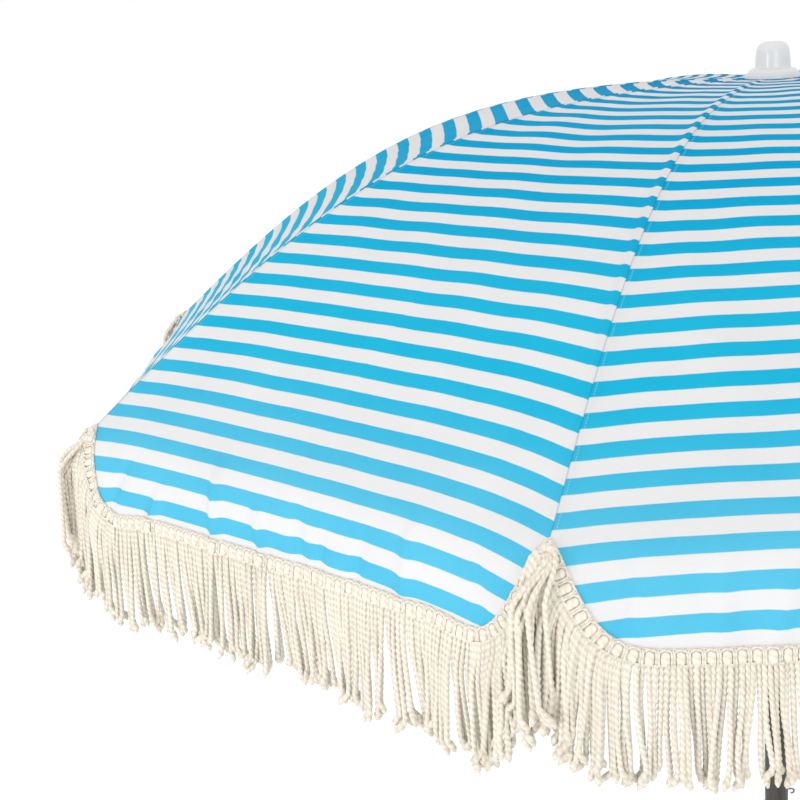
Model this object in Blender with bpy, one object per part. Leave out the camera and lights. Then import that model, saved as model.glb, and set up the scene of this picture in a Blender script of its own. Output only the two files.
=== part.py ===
"""Beach umbrella with a striped, valanced canopy and a rope fringe.

Metres, +Z up. The origin is the tip of the ground spike, on the pole's axis. Every rib assembly is
modelled once, in its own frame (x radial, y tangential, z up, origin on the rib's pivot), and is then
placed eight times round the pole.
"""
import math

import bmesh
import bpy
from mathutils import Matrix, Vector
from mathutils.geometry import tessellate_polygon

# Driving dimensions
RIB_COUNT = 8
APEX_Z = 2.000            # top of the fabric at the pole
CANOPY_RADIUS = 0.900     # rib tips, from the pole's axis
RIM_SLOPE_LINEAR = 0.15   # the canopy's slope grows from level at the pole ...
RIM_SLOPE_CURVED = 0.75   # ... to the sum of these two at the rim
FABRIC = 0.0015
VALANCE_DROP = 0.095      # tip plane down to the hem, at the middle of a panel
VALANCE_FLARE = 0.036     # how far the hem stands outside the line between two rib tips
FRINGE_LENGTH = 0.121     # hem braid and ropes together
NOTCH_HALF_WIDTH = 0.037  # the valance is cut away this far to each side of a rib tip

RING_RADIUS = 0.024       # pivots of the ribs and stretchers, from the pole's axis
RIB_PIVOT_Z = APEX_Z - 0.0065
STRETCHER_LENGTH = 0.370  # also the distance from a rib's pivot to its saddle's pivot
SADDLE_DEPTH = 0.022      # a saddle's pivot lies this far below the rib's centre line
STRIP_THICKNESS = 0.0036  # ribs and stretchers are flat steel strip, on edge
RIB_HEIGHT = 0.0050
STRETCHER_HEIGHT = 0.0044
EYE_RADIUS = 0.0034
EYE_HOLE = 0.00175
WIRE_RADIUS = 0.0012      # ring wires, saddle rivets and the height pin

POLE_RADIUS = 0.0160
UPPER_BORE = 0.0146
LOWER_BORE = 0.0145
MID_POLE_RADIUS = 0.0140
MID_POLE_BORE = 0.0126
TILT_Z = 0.900            # axis of the tilt joint
HEIGHT_PIN_Z = 1.010
UPPER_POLE_BOTTOM = 0.9690
UPPER_POLE_TOP = RIB_PIVOT_Z + 0.0030
MID_POLE_TOP = 1.300
SPIKE_SHOULDER_Z = 0.150
LOWER_POLE_TOP = 0.830
RUNNER_SLEEVE = 0.040

GAP = 0.0003              # between pieces that touch
SEGMENTS = 24             # round pieces; a corner falls on every rib's azimuth
PHASE = math.radians(7.5)

HALF_SECTOR = math.pi / RIB_COUNT
PANEL_RADIUS = CANOPY_RADIUS * math.cos(HALF_SECTOR)


# Materials
def make_material(name, color, roughness, metallic=0.0):
    material = bpy.data.materials.new(name)
    material.use_nodes = True
    shader = material.node_tree.nodes["Principled BSDF"]
    shader.inputs["Base Color"].default_value = (*color, 1.0)
    shader.inputs["Roughness"].default_value = roughness
    shader.inputs["Metallic"].default_value = metallic
    material.diffuse_color = (*color, 1.0)
    return material


def make_materials():
    return {
        "fabric": make_material("canopy_cotton", (0.03, 0.45, 0.76), 0.85),
        "fringe": make_material("fringe_rope", (0.86, 0.79, 0.66), 0.90),
        "finial": make_material("white_plastic", (0.90, 0.90, 0.92), 0.25),
        "pole": make_material("grey_pole_paint", (0.10, 0.09, 0.08), 0.35, 0.6),
        "strip": make_material("rib_steel", (0.42, 0.42, 0.42), 0.40, 0.8),
        "wire": make_material("bright_wire", (0.62, 0.62, 0.60), 0.30, 1.0),
        "moulding": make_material("dark_moulding", (0.20, 0.09, 0.05), 0.50),
        "spike": make_material("grey_moulding", (0.32, 0.32, 0.33), 0.55),
    }


# Mesh helpers
def finish_mesh(name, bm):
    bmesh.ops.recalc_face_normals(bm, faces=bm.faces)
    mesh = bpy.data.meshes.new(name)
    bm.to_mesh(mesh)
    bm.free()
    mesh.shade_smooth()
    mesh.set_sharp_from_angle(angle=math.radians(30.0))
    return mesh


def turned_mesh(name, profile, closed):
    """Revolve (radius, height) points about Z. An open profile starts and ends on the axis."""
    bm = bmesh.new()
    rings = []
    for radius, height in profile:
        if radius == 0.0:
            rings.append([bm.verts.new((0.0, 0.0, height))] * SEGMENTS)
            continue
        angles = [PHASE + 2.0 * math.pi * k / SEGMENTS for k in range(SEGMENTS)]
        rings.append([bm.verts.new((radius * math.cos(a), radius * math.sin(a), height)) for a in angles])
    pairs = list(zip(rings, rings[1:]))
    if closed:
        pairs.append((rings[-1], rings[0]))
    for lower, upper in pairs:
        for k in range(SEGMENTS):
            after = (k + 1) % SEGMENTS
            corners = [lower[k], lower[after], upper[after], upper[k]]
            bm.faces.new(list(dict.fromkeys(corners)))
    return finish_mesh(name, bm)


def prism_bmesh(loops, near, far, to_space):
    """Extrude a flat outline with holes, given as loops of 2-D points, from near to far."""
    flat = [[Vector((x, y, 0.0)) for x, y in loop] for loop in loops]
    triangles = tessellate_polygon(flat)
    points = [point for loop in loops for point in loop]
    bm = bmesh.new()
    front = [bm.verts.new(to_space(x, y, near)) for x, y in points]
    back = [bm.verts.new(to_space(x, y, far)) for x, y in points]
    for a, b, c in triangles:
        bm.faces.new((front[a], front[b], front[c]))
        bm.faces.new((back[c], back[b], back[a]))
    start = 0
    for loop in loops:
        count = len(loop)
        for k in range(count):
            a = start + k
            b = start + (k + 1) % count
            bm.faces.new((front[a], front[b], back[b], back[a]))
        start += count
    return bm


def edgewise(x, z, side):
    """A strip piece's outline lies in its rib's plane, and its thickness runs across that plane."""
    return (x, side, z)


def strip_mesh(name, loops, half_thickness):
    return finish_mesh(name, prism_bmesh(loops, -half_thickness, half_thickness, edgewise))


def circle_points(centre, radius, count, start=0.0, sweep=2.0 * math.pi, closed=True):
    steps = count if closed else count - 1
    angles = [start + sweep * k / steps for k in range(count)]
    return [(centre[0] + radius * math.cos(a), centre[1] + radius * math.sin(a)) for a in angles]


def bar_mesh(name, radius, start, end, height=0.0, sides=12):
    """A round bar along X from start to end, at a height."""
    section = circle_points((0.0, height), radius, sides)
    return finish_mesh(name, prism_bmesh([section], start, end, lambda y, z, x: (x, y, z)))


def box_mesh(name, low, high):
    bm = bmesh.new()
    bmesh.ops.create_cube(bm, size=1.0)
    size = [h - l for l, h in zip(low, high)]
    middle = [(h + l) / 2.0 for l, h in zip(low, high)]
    bmesh.ops.transform(bm, verts=bm.verts, matrix=Matrix.Translation(middle) @ Matrix.Diagonal((*size, 1.0)))
    return finish_mesh(name, bm)


def swept_mesh(name, path, radius, sides=8):
    """A round wire along points in the XZ plane."""
    bm = bmesh.new()
    rings = []
    for k, point in enumerate(path):
        ahead = Vector(path[min(k + 1, len(path) - 1)]) - Vector(path[max(k - 1, 0)])
        across = Vector((-ahead.z, 0.0, ahead.x)).normalized()
        ring = []
        for s in range(sides):
            angle = 2.0 * math.pi * s / sides
            offset = across * math.cos(angle) + Vector((0.0, math.sin(angle), 0.0))
            ring.append(bm.verts.new(Vector(point) + offset * radius))
        rings.append(ring)
    for ring, following in zip(rings, rings[1:]):
        for s in range(sides):
            after = (s + 1) % sides
            bm.faces.new((ring[s], ring[after], following[after], following[s]))
    bm.faces.new(rings[0])
    bm.faces.new(rings[-1])
    return finish_mesh(name, bm)


# Object helpers
def add_object(name, mesh, material=None, location=(0.0, 0.0, 0.0), turn=0.0, parent=None):
    obj = bpy.data.objects.new(name, mesh)
    if material is not None and not mesh.materials:
        mesh.materials.append(material)
    obj.location = location
    obj.rotation_euler = (0.0, 0.0, turn)
    obj.parent = parent
    bpy.context.scene.collection.objects.link(obj)
    return obj


def add_cutter(name, mesh, location=(0.0, 0.0, 0.0), turn=0.0):
    cutter = add_object(name, mesh, location=location, turn=turn)
    cutter.hide_render = True
    cutter.display_type = "WIRE"
    return cutter


def add_boolean(obj, tool, operation="DIFFERENCE"):
    modifier = obj.modifiers.new(tool.name, "BOOLEAN")
    modifier.operation = operation
    modifier.solver = "EXACT"
    modifier.object = tool
    return modifier


def merged_mesh(name, meshes, holes=()):
    """One mesh that is the union of several, less some holes."""
    base = add_object(name + "_base", meshes[0])
    tools = [(add_cutter(f"{name}_add_{k}", mesh), "UNION") for k, mesh in enumerate(meshes[1:])]
    tools += [(add_cutter(f"{name}_cut_{k}", mesh), "DIFFERENCE") for k, mesh in enumerate(holes)]
    for tool, operation in tools:
        add_boolean(base, tool, operation)
    evaluated = base.evaluated_get(bpy.context.evaluated_depsgraph_get())
    result = bpy.data.meshes.new_from_object(evaluated)
    result.name = name
    for obj in [base] + [tool for tool, _ in tools]:
        bpy.data.objects.remove(obj)
    return result


# Canopy and rib curves
def canopy_drop(radius):
    """How far the fabric over a rib lies below the apex, at this distance from the axis."""
    x = radius / CANOPY_RADIUS
    turn = math.cos(math.pi * x / 2.0)
    curved = (2.0 / math.pi) * (2.0 / 3.0 - turn + turn ** 3 / 3.0)
    return PANEL_RADIUS * (RIM_SLOPE_LINEAR * x * x / 2.0 + RIM_SLOPE_CURVED * curved)


def canopy_normal(radius):
    """The fabric's outward normal over a rib, in the rib's plane."""
    x = radius / CANOPY_RADIUS
    slope = RIM_SLOPE_LINEAR * x + RIM_SLOPE_CURVED * math.sin(math.pi * x / 2.0) ** 3
    slope *= math.cos(HALF_SECTOR)
    length = math.hypot(slope, 1.0)
    return (slope / length, 1.0 / length)


def below_fabric(radius, depth):
    """A point below the fabric over a rib, relative to the rib's pivot."""
    nx, nz = canopy_normal(radius)
    x = radius - nx * depth
    z = APEX_Z - canopy_drop(radius) - nz * depth
    return (x - RING_RADIUS, z - RIB_PIVOT_Z)


def stations(first, last, count):
    return [first + (last - first) * k / (count - 1) for k in range(count)]


RIB_TOP_DEPTH = FABRIC + 0.0004
RIB_CENTRE_DEPTH = RIB_TOP_DEPTH + RIB_HEIGHT / 2.0
TIP_Z = APEX_Z - canopy_drop(CANOPY_RADIUS)


def saddle_pivot():
    """The rib station whose saddle pivot is one stretcher length from the rib's pivot."""
    low, high = 0.2, 0.6
    for _ in range(60):
        middle = (low + high) / 2.0
        if math.hypot(*below_fabric(middle, RIB_CENTRE_DEPTH + SADDLE_DEPTH)) < STRETCHER_LENGTH:
            low = middle
        else:
            high = middle
    return middle, below_fabric(middle, RIB_CENTRE_DEPTH + SADDLE_DEPTH)


SADDLE_STATION, SADDLE_POINT = saddle_pivot()
RIB_STATIONS = sorted(stations(0.045, CANOPY_RADIUS, 11) + [SADDLE_STATION])
RUNNER_PIVOT_Z = RIB_PIVOT_Z + 2.0 * SADDLE_POINT[1]
TRIM_PIVOT = (CANOPY_RADIUS - 0.004 - RING_RADIUS, TIP_Z - 0.004 - RIB_PIVOT_Z)


# Ribs, saddles and stretchers
def rib_mesh():
    outline = circle_points((0.0, 0.0), EYE_RADIUS, 9, math.radians(40.0), math.radians(280.0), False)
    last = RIB_STATIONS[:-1] + [CANOPY_RADIUS - 0.008]
    outline += [below_fabric(r, RIB_TOP_DEPTH + RIB_HEIGHT) for r in last]
    outline += [below_fabric(r, RIB_TOP_DEPTH) for r in reversed(last)]
    return strip_mesh("rib", [outline, circle_points((0.0, 0.0), EYE_HOLE, 8)], STRIP_THICKNESS / 2.0)


def saddle_mesh():
    """Two cheeks either side of the rib, a web under it and a rivet, all turned to the rib's slope."""
    nx, nz = canopy_normal(SADDLE_STATION)
    top = SADDLE_DEPTH + 0.001
    web_top = SADDLE_DEPTH - RIB_HEIGHT / 2.0 - 0.0004

    def aligned(t, n, side):
        return (t * nz + n * nx, side, n * nz - t * nx)

    cheek = [(-0.004, -0.0025), (-0.0025, -0.004), (0.0025, -0.004), (0.004, -0.0025)]
    cheek += [(0.008, top), (-0.008, top)]
    web = [(-0.006, web_top - 0.002), (0.006, web_top - 0.002), (0.006, web_top), (-0.006, web_top)]
    inner = STRIP_THICKNESS / 2.0 + 0.0005
    outer = inner + 0.0011
    rivet = circle_points((0.0, 0.0), WIRE_RADIUS, 8)
    parts = [
        prism_bmesh([cheek], inner, outer, aligned),
        prism_bmesh([cheek], -outer, -inner, aligned),
        prism_bmesh([web], -inner - 0.0003, inner + 0.0003, aligned),
        prism_bmesh([rivet], -outer - 0.0006, outer + 0.0006, aligned),
    ]
    return merged_mesh("rib_saddle", [finish_mesh("saddle_piece", part) for part in parts])


def stretcher_mesh():
    """From the saddle's pivot, at the origin, back and down to the runner's pivot."""
    length = STRETCHER_LENGTH
    half = STRETCHER_HEIGHT / 2.0
    neck = math.acos(half / EYE_RADIUS)
    sweep = 2.0 * math.pi - 2.0 * (math.pi / 2.0 - neck)
    bend = math.pi / 2.0 - neck
    saddle_eye = circle_points((0.0, 0.0), EYE_RADIUS, 9, -math.pi + bend, sweep, False)
    runner_eye = circle_points((-length, 0.0), EYE_RADIUS, 9, bend, sweep, False)
    holes = [circle_points((0.0, 0.0), EYE_HOLE, 8), circle_points((-length, 0.0), EYE_HOLE, 8)]
    rise = math.atan2(-SADDLE_POINT[1], SADDLE_POINT[0])

    def turned(loop):
        return [(x * math.cos(rise) - z * math.sin(rise), x * math.sin(rise) + z * math.cos(rise)) for x, z in loop]

    loops = [turned(saddle_eye + runner_eye)] + [turned(hole) for hole in holes]
    return strip_mesh("stretcher", loops, STRIP_THICKNESS / 2.0)


# Canopy
def beside_rib(radius, across, outward, height, side):
    """A point of a half panel: along the rib, across towards the next rib and out from the panel."""
    x = radius - across * math.sin(HALF_SECTOR) + outward * math.cos(HALF_SECTOR)
    y = side * (across * math.cos(HALF_SECTOR) + outward * math.sin(HALF_SECTOR))
    return Vector((x - RING_RADIUS, y, height - RIB_PIVOT_Z))


def grid_faces(bm, grid):
    for row, following in zip(grid, grid[1:]):
        for k in range(len(row) - 1):
            bm.faces.new((row[k], row[k + 1], following[k + 1], following[k]))


def shell_from_grids(name, outer, inner):
    """Close the space between two point grids of the same shape."""
    bm = bmesh.new()
    top = [[bm.verts.new(p) for p in row] for row in outer]
    bottom = [[bm.verts.new(p) for p in row] for row in inner]
    grid_faces(bm, top)
    grid_faces(bm, bottom)
    grid_faces(bm, [top[0], bottom[0]])
    grid_faces(bm, [top[-1], bottom[-1]])
    grid_faces(bm, [[row[0] for row in top], [row[0] for row in bottom]])
    grid_faces(bm, [[row[-1] for row in top], [row[-1] for row in bottom]])
    return finish_mesh(name, bm)


def gore_mesh():
    """The fabric from the middle of one panel, over the rib, to the middle of the next."""
    radii = [0.0105] + RIB_STATIONS

    def row(radius, depth):
        height = APEX_Z - canopy_drop(radius) - depth
        half = radius * math.sin(HALF_SECTOR) - GAP
        return [beside_rib(radius, half, 0.0, height, -1), beside_rib(radius, 0.0, 0.0, height, 1),
                beside_rib(radius, half, 0.0, height, 1)]

    return shell_from_grids("canopy_gore", [row(r, 0.0) for r in radii], [row(r, FABRIC) for r in radii])


def trim_mesh():
    """Valance, hem braid and fringe hanging from a rib tip, half a panel wide to each side."""
    half = CANOPY_RADIUS * math.sin(HALF_SECTOR) - GAP
    columns = [(half, -1, 1.0), (NOTCH_HALF_WIDTH, -1, 1.0), (0.0, 1, 0.25)]
    columns += [(NOTCH_HALF_WIDTH, 1, 1.0), (half, 1, 1.0)]

    def column(across, side, depth, inset):
        hem_z = TIP_Z - VALANCE_DROP * depth
        flare = VALANCE_FLARE * depth
        tip = TRIM_PIVOT[0], TRIM_PIVOT[1]
        rows = [(0.0008 - 0.002 * inset, TIP_Z - 0.002), (flare - 0.003 * inset, hem_z)]
        rows.append((flare + 0.004 - 0.008 * inset, hem_z - FRINGE_LENGTH))
        points = []
        for outward, height in rows:
            if across == 0.0:
                x = CANOPY_RADIUS + outward / math.cos(HALF_SECTOR)
                point = Vector((x - RING_RADIUS, 0.0, height - RIB_PIVOT_Z))
            else:
                point = beside_rib(CANOPY_RADIUS, across, outward, height, side)
            points.append(point - Vector((tip[0], 0.0, tip[1])))
        return points

    outer = [column(across, side, depth, 0.0) for across, side, depth in columns]
    inner = [column(across, side, depth, 1.0) for across, side, depth in columns]
    return shell_from_grids("fringe_trim", outer, inner)


def add_rib_assemblies(materials):
    rib_shape = rib_mesh()
    saddle_shape = saddle_mesh()
    stretcher_shape = stretcher_mesh()
    gore_shape = gore_mesh()
    trim_shape = trim_mesh()
    saddle_at = (SADDLE_POINT[0], 0.0, SADDLE_POINT[1])
    trim_at = (TRIM_PIVOT[0], 0.0, TRIM_PIVOT[1])
    for k in range(RIB_COUNT):
        azimuth = HALF_SECTOR + 2.0 * math.pi * k / RIB_COUNT
        number = k + 1
        pivot = (RING_RADIUS * math.cos(azimuth), RING_RADIUS * math.sin(azimuth), RIB_PIVOT_Z)
        rib = add_object(f"rib_{number}", rib_shape, materials["strip"], pivot, azimuth)
        add_object(f"rib_saddle_{number}", saddle_shape, materials["wire"], saddle_at, parent=rib)
        add_object(f"stretcher_{number}", stretcher_shape, materials["strip"], saddle_at, parent=rib)
        add_object(f"canopy_gore_{number}", gore_shape, materials["fabric"], parent=rib)
        add_object(f"fringe_trim_{number}", trim_shape, materials["fringe"], trim_at, parent=rib)


# Crown, runner and their rings
def notched_collar_profile(sleeve, sleeve_radius):
    """A sleeve on the pole under a disc with a groove for the ring wire; heights from the pivots."""
    bore = POLE_RADIUS + 0.0004
    groove_in, groove_out = RING_RADIUS - 0.0017, RING_RADIUS + 0.0017
    return [(bore, -sleeve), (sleeve_radius, -sleeve), (sleeve_radius, -0.0075), (0.0285, -0.0060),
            (0.0300, -0.0042), (0.0300, 0.0035), (groove_out, 0.0035), (groove_out, -0.0016),
            (groove_in, -0.0016), (groove_in, 0.0035), (bore, 0.0035)]


def slot_cutter(name, height):
    """Eight radial slots that the eyes of the ribs or stretchers swing in."""
    bm = bmesh.new()
    half = STRIP_THICKNESS / 2.0 + 0.0004
    for k in range(RIB_COUNT):
        azimuth = HALF_SECTOR + 2.0 * math.pi * k / RIB_COUNT
        cube = bmesh.ops.create_cube(bm, size=1.0)["verts"]
        size = Matrix.Diagonal((0.020, 2.0 * half, 0.0178, 1.0))
        place = Matrix.Rotation(azimuth, 4, "Z") @ Matrix.Translation((0.0288, 0.0, 0.0011))
        bmesh.ops.transform(bm, verts=cube, matrix=place @ size)
    return add_cutter(name, finish_mesh(name, bm), (0.0, 0.0, height))


def add_ring(name, height, material):
    section = circle_points((RING_RADIUS, 0.0), WIRE_RADIUS, 6, math.radians(30.0))
    add_object(name, turned_mesh(name, section, True), material, (0.0, 0.0, height))


def add_crown(materials):
    profile = notched_collar_profile(0.030, 0.0205)
    crown = add_object("crown_hub", turned_mesh("crown_hub", profile, True), materials["moulding"],
                       (0.0, 0.0, RIB_PIVOT_Z))
    add_boolean(crown, slot_cutter("crown_slots", RIB_PIVOT_Z))
    add_ring("crown_ring", RIB_PIVOT_Z, materials["wire"])


def add_runner(materials):
    profile = notched_collar_profile(RUNNER_SLEEVE, 0.0210)
    runner = add_object("runner", turned_mesh("runner", profile, True), materials["moulding"],
                        (0.0, 0.0, RUNNER_PIVOT_Z))
    add_boolean(runner, slot_cutter("runner_slots", RUNNER_PIVOT_Z))
    keyway = box_mesh("runner_keyway", (-0.003, 0.010, -0.060), (0.003, 0.0193, 0.020))
    add_boolean(runner, add_cutter("runner_keyway", keyway, (0.0, 0.0, RUNNER_PIVOT_Z)))
    add_ring("runner_ring", RUNNER_PIVOT_Z, materials["wire"])


def add_finial(materials):
    """A turned knob: stem inside the pole, a flange on the fabric and a straight-sided dome."""
    flange, wall, shoulder, top = 0.0340, 0.0228, 0.0135, 0.0445
    profile = [(0.0, -0.022), (0.006, -0.022), (0.006, GAP), (flange - 0.001, GAP), (flange, 0.0015)]
    profile += [(flange - 0.001, 0.0048), (flange - 0.004, 0.0078), (wall + 0.0015, 0.0095)]
    profile += [(wall, 0.0115), (wall - 0.0012, top - shoulder)]
    centre = wall - 0.0012 - shoulder
    for k in range(1, 5):
        angle = math.radians(18.0 * k)
        profile.append((centre + shoulder * math.cos(angle), top - shoulder + shoulder * math.sin(angle) * 0.98))
    profile.append((0.0, top))
    add_object("finial_cap", turned_mesh("finial_cap", profile, False), materials["finial"], (0.0, 0.0, APEX_Z))


# Pole
def tube_profile(bore, radius, low, high):
    return [(bore, low), (radius, low), (radius, high), (bore, high)]


def add_upper_pole(materials):
    tube = turned_mesh("upper_pole", tube_profile(UPPER_BORE, POLE_RADIUS, UPPER_POLE_BOTTOM, UPPER_POLE_TOP), True)
    pole = add_object("upper_pole", tube, materials["pole"])
    pin_hole = bar_mesh("height_pin_hole", WIRE_RADIUS + 0.0006, 0.0105, 0.0205, HEIGHT_PIN_Z, 8)
    add_boolean(pole, add_cutter("height_pin_hole", pin_hole))
    top = RUNNER_PIVOT_Z - RUNNER_SLEEVE
    window = box_mesh("catch_window", (-0.0026, 0.012, top - 0.0140), (0.0026, 0.020, top + 0.0006))
    add_boolean(pole, add_cutter("catch_window", window))
    lip = [(MID_POLE_RADIUS + 0.0004, 0.9590), (0.0180, 0.9590), (0.0190, 0.9605), (0.0190, 0.9880),
           (0.0178, 0.9900), (POLE_RADIUS + GAP, 0.9900), (POLE_RADIUS + GAP, UPPER_POLE_BOTTOM - GAP),
           (MID_POLE_RADIUS + 0.0004, UPPER_POLE_BOTTOM - GAP)]
    add_object("pole_collar", turned_mesh("pole_collar", lip, True), materials["moulding"])


def add_height_pin(materials):
    """A bent wire: straight through the pole's wall, then a curl to pull on. Travels along +X."""
    straight = [Vector((MID_POLE_RADIUS + 0.0004, 0.0, 0.0)), Vector((0.0215, 0.0, 0.0))]
    curl = [Vector((0.0215 + 0.0032 * math.sin(a), 0.0, 0.0032 * (math.cos(a) - 1.0)))
            for a in [math.radians(30.0 * k) for k in range(1, 8)]]
    pin = swept_mesh("height_pin", straight + curl, WIRE_RADIUS)
    add_object("height_pin", pin, materials["wire"], (0.0, 0.0, HEIGHT_PIN_Z))


def add_runner_catch(materials):
    """The sprung catch that carries the open runner, in its window in the pole; pressed in along -Y."""
    top = RUNNER_PIVOT_Z - RUNNER_SLEEVE - GAP
    outline = [(0.0130, 0.0), (0.0130, -0.0125), (0.0162, -0.0125), (0.0185, -0.0030), (0.0185, 0.0)]
    bm = prism_bmesh([outline], -0.0020, 0.0020, lambda y, z, x: (x, y, z))
    add_object("runner_catch", finish_mesh("runner_catch", bm), materials["wire"], (0.0, 0.0, top))


def add_mid_pole(materials):
    tube = turned_mesh("mid_pole", tube_profile(MID_POLE_BORE, MID_POLE_RADIUS, 0.9563, MID_POLE_TOP), True)
    add_object("mid_pole", tube, materials["wire"])


def knuckle_outline(rise):
    """Side view of a fork cheek or tongue about the tilt axis: a round end and a straight shank."""
    start = 0.0 if rise < 0.0 else math.pi
    arc = circle_points((0.0, 0.0), 0.0120, 9, start, math.pi, False)
    return arc + [(arc[-1][0], rise), (arc[0][0], rise)]


def across_axis(x, z, y):
    return (x, y, z)


def add_tilt_joint(materials):
    """A fork on the lower pole, a tongue on the middle pole, their pin and the release button."""
    at = (0.0, 0.0, TILT_Z)
    low_body = [(0.0, -0.1100), (0.0140, -0.1100), (0.0140, -0.0697), (0.0175, -0.0697), (0.0185, -0.0680),
                (0.0185, -0.0335), (0.0180, -0.0320), (0.0, -0.0320)]
    fork = [turned_mesh("fork_body", low_body, False)]
    for side in (-1.0, 1.0):
        cheek = prism_bmesh([knuckle_outline(-0.0400)], side * 0.0065, side * 0.0125, across_axis)
        fork.append(finish_mesh("fork_cheek", cheek))
    pin_hole = prism_bmesh([circle_points((0.0, 0.0), 0.0034, 12, PHASE)], -0.020, 0.020, across_axis)
    hole_shape = finish_mesh("tilt_hole", pin_hole)
    button_hole = bar_mesh("button_hole", 0.0049, -0.0240, -0.0090, -0.0510)
    fork_shape = merged_mesh("tilt_fork", fork, [hole_shape, button_hole])
    add_object("tilt_fork", fork_shape, materials["moulding"], at)

    high_body = [(0.0, 0.0335), (0.0140, 0.0335), (0.0150, 0.0350), (0.0150, 0.0560), (0.0122, 0.0560),
                 (0.0122, 0.0900), (0.0, 0.0900)]
    tongue = prism_bmesh([knuckle_outline(0.0360)], -0.0060, 0.0060, across_axis)
    tongue_shape = merged_mesh("tilt_tongue", [turned_mesh("tongue_body", high_body, False),
                                               finish_mesh("tongue", tongue)], [hole_shape.copy()])
    add_object("tilt_tongue", tongue_shape, materials["moulding"], at)

    pin = prism_bmesh([circle_points((0.0, 0.0), 0.0030, 12)], -0.0150, 0.0150, across_axis)
    add_object("tilt_pin", finish_mesh("tilt_pin", pin), materials["wire"], at)
    button = bar_mesh("tilt_button", 0.0045, -0.0220, -0.0135, -0.0510)
    add_object("tilt_button", button, materials["spike"], at)


def add_lower_pole(materials):
    tube = tube_profile(LOWER_BORE, POLE_RADIUS, SPIKE_SHOULDER_Z + GAP, LOWER_POLE_TOP)
    add_object("lower_pole", turned_mesh("lower_pole", tube, True), materials["pole"])
    spike = [(0.0, 0.0), (0.0030, 0.0), (0.0160, 0.120), (0.0180, 0.124), (0.0180, SPIKE_SHOULDER_Z - 0.002),
             (0.0165, SPIKE_SHOULDER_Z), (0.0140, SPIKE_SHOULDER_Z), (0.0140, 0.200),
             (0.0, 0.200)]
    add_object("ground_spike", turned_mesh("ground_spike", spike, False), materials["spike"])


def build():
    for obj in list(bpy.data.objects):
        bpy.data.objects.remove(obj)
    materials = make_materials()
    add_lower_pole(materials)
    add_tilt_joint(materials)
    add_mid_pole(materials)
    add_upper_pole(materials)
    add_height_pin(materials)
    add_runner_catch(materials)
    add_crown(materials)
    add_runner(materials)
    add_finial(materials)
    add_rib_assemblies(materials)


build()
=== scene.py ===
"""A beach umbrella with a striped canopy, a scalloped valance and a knotted rope fringe."""
import math

import bpy
import numpy as np
from mathutils import Matrix, Vector


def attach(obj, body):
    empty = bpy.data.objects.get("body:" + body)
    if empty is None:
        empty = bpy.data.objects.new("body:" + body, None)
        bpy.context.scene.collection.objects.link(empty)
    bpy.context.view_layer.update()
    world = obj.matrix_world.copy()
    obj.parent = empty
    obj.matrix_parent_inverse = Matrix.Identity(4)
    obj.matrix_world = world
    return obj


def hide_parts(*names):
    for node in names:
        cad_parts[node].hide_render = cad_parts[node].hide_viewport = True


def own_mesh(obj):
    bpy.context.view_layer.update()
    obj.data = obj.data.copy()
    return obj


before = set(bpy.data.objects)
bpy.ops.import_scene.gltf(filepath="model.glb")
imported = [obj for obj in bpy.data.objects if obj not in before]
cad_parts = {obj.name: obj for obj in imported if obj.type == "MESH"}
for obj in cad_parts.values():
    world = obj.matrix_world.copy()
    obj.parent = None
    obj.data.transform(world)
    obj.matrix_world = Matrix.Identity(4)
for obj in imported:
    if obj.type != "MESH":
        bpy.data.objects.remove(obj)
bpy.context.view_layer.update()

# The cover, in metres: eight panels sewn together over eight ribs.
PANELS = 8
HALF_SECTOR = math.pi / PANELS
SIN, COS, TAN = math.sin(HALF_SECTOR), math.cos(HALF_SECTOR), math.tan(HALF_SECTOR)
APEX_Z = 2.0
RIB_RADIUS = 0.900
PANEL_RADIUS = RIB_RADIUS * COS
RIM_HALF_WIDTH = RIB_RADIUS * SIN
RIM_SLOPE_LINEAR = 0.15
RIM_SLOPE_CURVED = 0.75
CENTRE_HOLE = 0.020
TIP_Z = 1.672966

# The hanging valance, and the notch cut out of it at each rib.
VALANCE = 0.1015
VALANCE_START = math.radians(42.0)
VALANCE_TURN = math.radians(40.0)
NOTCH_WIDTH = 0.028
NOTCH_POWER = 1.3
HEM_RISE = (0.005, 0.009, 0.004, 0.008, 0.013, 0.0, 0.006, 0.008)

# The stripes, the sag and the small relief of the cloth.
STRIPE = 0.01719
FIRST_WHITE = 0.0154
PANEL_SHIFT = (0.0021, -0.0035, 0.0048, -0.0012, 0.0058, 0.0, 0.0031, -0.0044)
DROOP_START = 0.0095
DROOP_END = 0.0112
DROOP_RIM = 0.0125
DROOP_REACH_START = 0.065
DROOP_REACH_END = 0.085
SAG = 0.0040
RIDGE = 0.0014
SEAM_BULGE = 0.0022
WRINKLE = 0.00022
FOLDS_PER_PANEL = 11
# The folds of one panel are lower than those of the others, by this share.
CALM_PANEL = 6
CALM = 0.45
STITCH_OFFSET = 0.0038

# The braid heading and the rope strands.
HEADING = 0.0160
REPEAT = 0.0131
BLOCK_TOP = 0.0012
BLOCK_LENGTH = 0.0140
BLOCK_HALF_WIDTH = 0.0042
LOOP_HALF_WIDTH = 0.0054
LOOP_DEPTH = 0.0036
LOOP_LEG = 0.0118
LOOP_BEND_SHARE = 0.571
LOOP_LEG_SHARE = 0.429
LOOP_RADIUS = 0.00125
BETWEEN_RADIUS = 0.0014
STRAND_PITCH = 0.0048
STRAND_LENGTH = 0.1130
STRAND_RADIUS = 0.00262
STRAND_RINGS = 40
STRAND_ROOT = 0.0125
STRAND_BEND = 0.011
ROPE_SIDES = 5
KNOT_PLACE = 0.945
LAY = 0.0125
NOTCH_STAND_END = (0.012, 0.046)
NOTCH_STAND_START = (0.003, 0.016)
NOTCH_SWAY_END = (-0.004, 0.030)
NOTCH_SWAY_START = (-0.016, 0.006)
NOTCH_REACH = 0.120


# ---------------------------------------------------------------- the panel's shape

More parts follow.
